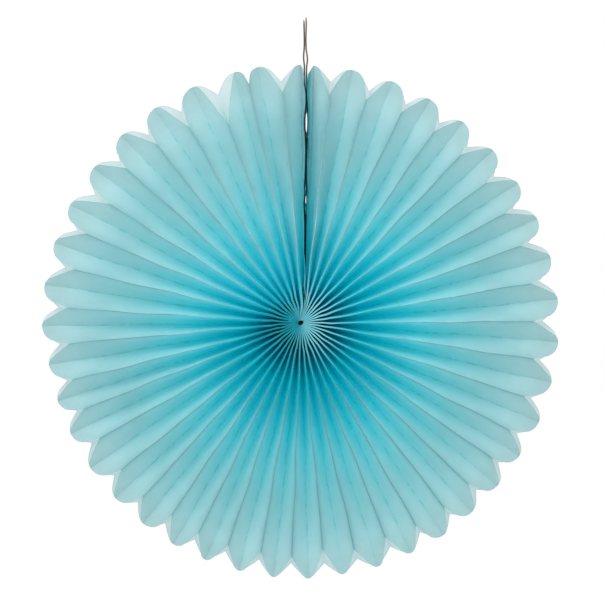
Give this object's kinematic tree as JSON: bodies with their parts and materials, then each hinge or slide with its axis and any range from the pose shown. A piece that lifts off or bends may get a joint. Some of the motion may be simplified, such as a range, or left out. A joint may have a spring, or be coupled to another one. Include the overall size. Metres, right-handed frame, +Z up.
{
  "type": "honeycomb tissue paper fan rosette",
  "caption": "Round hanging fan of honeycomb tissue paper, opened to a full circle of scalloped petals pinched at the hub, with a doubled hanging string in its seam.",
  "frame": {"origin": "on the axis of the hole at the hub, at the middle of the disc's depth", "axes": "+Z up along the string, the front face looks towards -Y, +X to the right as seen from the front"},
  "size_m": [0.4057, 0.04, 0.4438],
  "materials": {
    "tissue": "thin translucent tissue, matt, light turquoise",
    "string": "twisted natural twine, brown"
  },
  "bodies": {
    "root": {"tissue_fan": "tissue", "left_strand": "string", "right_strand": "string"}
  },
  "joints": []
}
